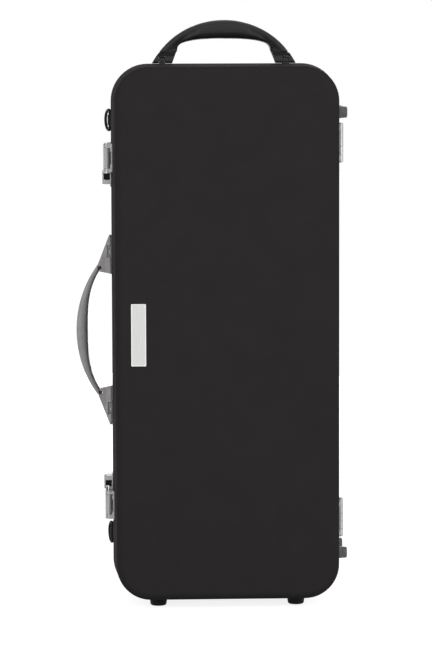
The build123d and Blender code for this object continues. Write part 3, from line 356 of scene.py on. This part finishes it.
def new_piece(name, form):
    """A new piece with the mesh of a finished form."""
    mesh = bpy.data.meshes.new(name)
    form.to_mesh(mesh)
    form.free()
    piece = bpy.data.objects.new(name, mesh)
    scene.collection.objects.link(piece)
    return piece


def settle(piece):
    """Apply a piece's modifiers to its mesh."""
    graph = bpy.context.evaluated_depsgraph_get()
    mesh = bpy.data.meshes.new_from_object(piece.evaluated_get(graph))
    piece.modifiers.clear()
    piece.data = mesh


def shade_smooth(piece):
    piece.data.polygons.foreach_set("use_smooth", [True] * len(piece.data.polygons))


def remeshed(node, voxel):
    """A copy of a node with an even mesh."""
    piece = soft_copy(node)
    remesh = piece.modifiers.new("remesh", "REMESH")
    remesh.mode = "VOXEL"
    remesh.voxel_size = voxel
    settle(piece)
    return piece


def points_and_normals(piece):
    """Each point of a mesh with its normal as it was before any point moved."""
    return list(zip(piece.data.vertices, [v.normal.copy() for v in piece.data.vertices]))


def stand_in(piece, node, body, material):
    """Say what a rebuilt piece stands for, rides on and is finished as."""
    piece.data.materials.clear()
    piece.data.materials.append(material)
    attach(piece, body)
    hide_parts(node)


# Foam boards in tight plush
FLAT_ANGLE, SHARP_ANGLE = math.radians(2), math.radians(40)


def upholstered(node, radius):
    """A foam block in tight plush: the node's form with soft rounded edges."""
    piece = soft_copy(node)
    form = bmesh.new()
    form.from_mesh(piece.data)
    bmesh.ops.dissolve_limit(form, angle_limit=FLAT_ANGLE, verts=form.verts, edges=form.edges)
    sharp = [e for e in form.edges if len(e.link_faces) == 2 and e.calc_face_angle() > SHARP_ANGLE]
    bmesh.ops.bevel(
        form, geom=sharp, offset=radius, segments=3, profile=0.55,
        affect="EDGES", clamp_overlap=True,
    )
    bmesh.ops.triangulate(form, faces=[f for f in form.faces if len(f.verts) > 4])
    form.to_mesh(piece.data)
    form.free()
    shade_smooth(piece)
    piece.modifiers.new("normals", "WEIGHTED_NORMAL")
    settle(piece)
    return piece


for node, radius in (
    ("insert_floor", 0.003),
    ("insert_frame", 0.0022),
    ("insert_partitions", 0.0022),
    ("insert_dividers", 0.0022),
    ("insert_risers", 0.003),
):
    stand_in(upholstered(node, radius), node, "base", foam_plush)
accessory_board = upholstered("accessory_lid", 0.0014)
stand_in(accessory_board, "accessory_lid", "accessory_cover", foam_plush)

# Lining of the lid
CLOTH_FRAMES = 20


def cushioned(node, voxel, shrink, pressure, cap):
    """A pad of soft foam: remeshed, drawn in a little and swelled by cloth pressure."""
    piece = remeshed(node, voxel)
    for vertex, normal in points_and_normals(piece):
        vertex.co -= normal * shrink
    start = [vertex.co.copy() for vertex in piece.data.vertices]
    cloth = piece.modifiers.new("cloth", "CLOTH")
    cloth.settings.use_pressure = True
    cloth.settings.uniform_pressure_force = pressure
    cloth.settings.effector_weights.gravity = 0
    cloth.point_cache.frame_start = 1
    cloth.point_cache.frame_end = CLOTH_FRAMES
    for number in range(1, CLOTH_FRAMES + 1):
        scene.frame_set(number)
    settle(piece)
    scene.frame_set(1)
    for vertex, before in zip(piece.data.vertices, start):
        move = vertex.co - before
        if move.length > cap:
            vertex.co = before + move * (cap / move.length)
    piece.modifiers.new("smooth", "SUBSURF").levels = 1
    settle(piece)
    shade_smooth(piece)
    return piece


lining = cushioned("lid_lining", voxel=0.005, shrink=0.0015, pressure=4.0, cap=0.003)
stand_in(lining, "lid_lining", "lid", foam_plush)

# Badge plate
CORNER_SHARE, CORNER_STEPS = 0.6, 6


def badge_outline(form, inset, y):
    """A ring of points round the badge, drawn in from its edge."""
    corner = BADGE_CORNER - inset * CORNER_SHARE
    across, along = BADGE_WIDTH / 2 - inset - corner, BADGE_HEIGHT / 2 - inset - corner
    points = []
    for quarter, (side, end) in enumerate(((1, 1), (-1, 1), (-1, -1), (1, -1))):
        for step in range(CORNER_STEPS + 1):
            angle = math.radians(90) * (quarter + step / CORNER_STEPS)
            x = badge_middle.x + side * across + corner * math.cos(angle)
            z = badge_middle.z + end * along + corner * math.sin(angle)
            points.append(form.verts.new((x, y, z)))
    return points


def bare_badge():
    """The bare badge: a plate with a rounded edge and a low raised rim."""
    face, back = badge_low.y, badge_high.y
    profile = (
        (0.0, back),
        (0.0, face + 0.0004),
        (0.00012, face + 0.00015),
        (0.0004, face),
        (BADGE_RIM - 0.0003, face),
        (BADGE_RIM - 0.0001, face + 0.0001),
        (BADGE_RIM, face + 0.0003),
        (BADGE_RIM + 0.0002, face + 0.00035),
    )
    form = bmesh.new()
    rings = [badge_outline(form, inset, y) for inset, y in profile]
    for ring, after in zip(rings, rings[1:]):
        for i, point in enumerate(ring):
            j = (i + 1) % len(ring)
            form.faces.new((point, ring[j], after[j], after[i]))
    form.faces.new(rings[-1])
    form.faces.new(list(reversed(rings[0])))
    bmesh.ops.recalc_face_normals(form, faces=form.faces)
    piece = new_piece("badge_bare", form)
    shade_smooth(piece)
    piece.modifiers.new("normals", "WEIGHTED_NORMAL")
    settle(piece)
    return piece


stand_in(bare_badge(), "badge_plate", "lid", badge_metal())

# Leather of the top handle. Its creases run through points that lie this far from the
# handle's middle and this far above its caps
GRIP_VOXEL = 0.0014
BEND_CREASE = ((0.0655, 0.0), (0.0543, 0.0107), (0.0410, 0.0206), (0.0319, 0.0243))
BEND_FOLD = ((0.0600, 0.0035), (0.0525, 0.0065), (0.0470, 0.0115))
CREASE_DEPTH, CREASE_WIDTH = 0.0017, 0.0022
FOLD_DEPTH, FOLD_WIDTH = 0.0008, 0.0011
SEAM_DEPTH, SEAM_WIDTH = 0.0006, 0.0007
SWELL, SWELL_FROM, SWELL_TO = 0.003, -0.0012, 0.011
SWELL_RISE, SWELL_FADE = 0.001, 0.009


def line_distance(point, line):
    """The distance from a point to a line of straight runs, all in one plane."""
    best = math.inf
    for start, end in zip(line, line[1:]):
        run = end - start
        share = min(1.0, max(0.0, (point - start).dot(run) / run.length_squared))
        best = min(best, (point - start - run * share).length)
    return best


def hollow(distance, width):
    """1 at the bottom of a hollow, falling to 0 on both sides."""
    return math.exp(-((distance / width) ** 2))


def smooth_step(value):
    """0 up to 0, 1 from 1 on, and smooth between."""
    value = min(1.0, max(0.0, value))
    return value * value * (3 - 2 * value)


def leather_grip():
    """The padded leather of the top handle: full above the caps, creased where it bends."""
    low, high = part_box("top_handle_grip")
    middle = (low + high) / 2
    cap_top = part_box("top_cap_left")[1].z
    crease, fold = ([Vector(p) for p in line] for line in (BEND_CREASE, BEND_FOLD))
    piece = remeshed("top_handle_grip", GRIP_VOXEL)
    for vertex, normal in points_and_normals(piece):
        side = 1 if vertex.co.x > middle.x else -1
        inward = Vector((-side, 0, -0.5)).normalized()
        facing = max(0.0, normal.dot(inward))
        height = vertex.co.z - cap_top
        full = smooth_step((SWELL_TO - height) / SWELL_FADE)
        full *= smooth_step((height - SWELL_FROM) / SWELL_RISE)
        spot = Vector((abs(vertex.co.x - middle.x), height))
        depth = CREASE_DEPTH * hollow(line_distance(spot, crease), CREASE_WIDTH)
        depth += FOLD_DEPTH * hollow(line_distance(spot, fold), FOLD_WIDTH)
        seam = SEAM_DEPTH * hollow(vertex.co.y - middle.y, SEAM_WIDTH)
        vertex.co += inward * facing * (SWELL * full - seam)
        vertex.co.y -= depth * normal.y * abs(normal.y)
    piece.modifiers.new("smooth", "SMOOTH").iterations = 2
    settle(piece)
    shade_smooth(piece)
    return piece


stand_in(leather_grip(), "top_handle_grip", "top_handle", grip_leather)

# Bolt springs, each with its fixed end at this height: a copy of its node, with a mesh of its own
for end, fixed_z in (("upper", 0.51705), ("lower", 0.13315)):
    node = f"latch_{end}_spring"
    coil = soft_copy(node)
    spring_steel = satin_steel(f"spring_{end}", (0.5, 0.5, 0.5), 0.3)
    stand_in(coil, node, "base", spring_steel)
    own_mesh(coil)

# Pull tab of the accessory lid
TAB_COLUMNS, TAB_ROWS = 16, 10
TAB_CORNER, TAB_THICKNESS = 0.85, 0.8  # shares of its solid's half height and thickness
TAB_GAP, TAB_LIFT, TAB_LEAST_REACH = 0.0002, 0.0022, 0.0008


def pull_tab():
    """A leather tab that lies on the accessory lid and lifts a little at its free end."""
    low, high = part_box("accessory_tab")
    centre, half = (low + high) / 2, (high - low) / 2
    corner = half.z * TAB_CORNER
    form = bmesh.new()
    grid = []
    for i in range(TAB_COLUMNS + 1):
        x = -half.x + 2 * half.x * i / TAB_COLUMNS
        inset = max(0.0, abs(x) - (half.x - corner))
        reach = half.z - corner + math.sqrt(max(corner**2 - inset**2, 0.0))
        y = high.y - TAB_GAP - TAB_LIFT * max(0.0, x / half.x) ** 2
        row = []
        for j in range(TAB_ROWS + 1):
            z = max(reach, TAB_LEAST_REACH) * (2 * j / TAB_ROWS - 1)
            row.append(form.verts.new((centre.x + x, y, centre.z + z)))
        grid.append(row)
    for i in range(TAB_COLUMNS):
        for j in range(TAB_ROWS):
            form.faces.new((grid[i][j], grid[i + 1][j], grid[i + 1][j + 1], grid[i][j + 1]))
    piece = new_piece("accessory_pull_tab", form)
    thick = piece.modifiers.new("thick", "SOLIDIFY")
    thick.thickness = (high.y - low.y) * TAB_THICKNESS
    thick.offset = 1.0
    piece.modifiers.new("smooth", "SUBSURF").levels = 1
    settle(piece)
    shade_smooth(piece)
    return piece


stand_in(pull_tab(), "accessory_tab", "accessory_cover", tab_leather)

# Light: a plain pale room, soft lamps, and a floor that shows white
ROOM_LIGHT, ROOM_SEEN = 0.45, 1.0
FLOOR_REACH, FLOOR_GREY, FLOOR_GLOW = 12.0, 0.5, 0.85
MIDDLE = (0.0, 0.0, 0.33)
LAMPS = (  # name, place, width and height, power
    ("left_box", (-1.6, -1.7, 0.9), (0.9, 1.4), 17),
    ("right_box", (1.8, -1.6, 0.8), (0.9, 1.4), 21),
    ("top_box", (0.0, -1.2, 1.9), (1.4, 1.0), 3),
    ("back_box", (0.5, 2.3, 0.7), (1.4, 1.4), 18),
)


def seen_ray(tree):
    """1 for camera, glossy and transmission rays, which see the white background."""
    path = tree.nodes.new("ShaderNodeLightPath")
    total = path.outputs["Is Camera Ray"]
    for kind in ("Is Glossy Ray", "Is Transmission Ray"):
        either = tree.nodes.new("ShaderNodeMath")
        either.operation = "MAXIMUM"
        tree.links.new(total, either.inputs[0])
        tree.links.new(path.outputs[kind], either.inputs[1])
        total = either.outputs[0]
    return total


def room():
    world = bpy.data.worlds.new("room")
    world.use_nodes = True
    scene.world = world
    tree = world.node_tree
    background = tree.nodes["Background"]
    strength = tree.nodes.new("ShaderNodeMapRange")
    strength.inputs["To Min"].default_value = ROOM_LIGHT
    strength.inputs["To Max"].default_value = ROOM_SEEN
    tree.links.new(seen_ray(tree), strength.inputs["Value"])
    background.inputs["Color"].default_value = (1, 1, 1, 1)
    tree.links.new(strength.outputs[0], background.inputs["Strength"])


def soft_lamp(name, place, size, power):
    """A lamp like a soft box, aimed at the middle of the case."""
    light = bpy.data.lights.new(name, "AREA")
    light.shape = "RECTANGLE"
    light.size, light.size_y = size
    light.energy = power
    lamp = bpy.data.objects.new(name, light)
    lamp.location = place
    lamp.rotation_euler = (Vector(MIDDLE) - Vector(place)).to_track_quat("-Z", "Y").to_euler()
    scene.collection.objects.link(lamp)


def floor():
    signs = ((-1, -1), (1, -1), (1, 1), (-1, 1))
    corners = [(FLOOR_REACH * x, FLOOR_REACH * y, 0) for x, y in signs]
    data = bpy.data.meshes.new("floor")
    data.from_pydata(corners, [], [(0, 1, 2, 3)])
    piece = bpy.data.objects.new("floor", data)
    scene.collection.objects.link(piece)
    material = bpy.data.materials.new("floor")
    material.use_nodes = True
    tree = material.node_tree
    tree.nodes.clear()
    out = tree.nodes.new("ShaderNodeOutputMaterial")
    matte = tree.nodes.new("ShaderNodeBsdfDiffuse")
    matte.inputs["Color"].default_value = (FLOOR_GREY, FLOOR_GREY, FLOOR_GREY, 1)
    glow = tree.nodes.new("ShaderNodeEmission")
    glow.inputs["Strength"].default_value = FLOOR_GLOW
    both = tree.nodes.new("ShaderNodeAddShader")
    mix = tree.nodes.new("ShaderNodeMixShader")
    tree.links.new(matte.outputs[0], both.inputs[0])
    tree.links.new(glow.outputs[0], both.inputs[1])
    tree.links.new(seen_ray(tree), mix.inputs["Fac"])
    tree.links.new(matte.outputs[0], mix.inputs[1])
    tree.links.new(both.outputs[0], mix.inputs[2])
    tree.links.new(mix.outputs[0], out.inputs["Surface"])
    data.materials.append(material)


room()
floor()
for lamp in LAMPS:
    soft_lamp(*lamp)
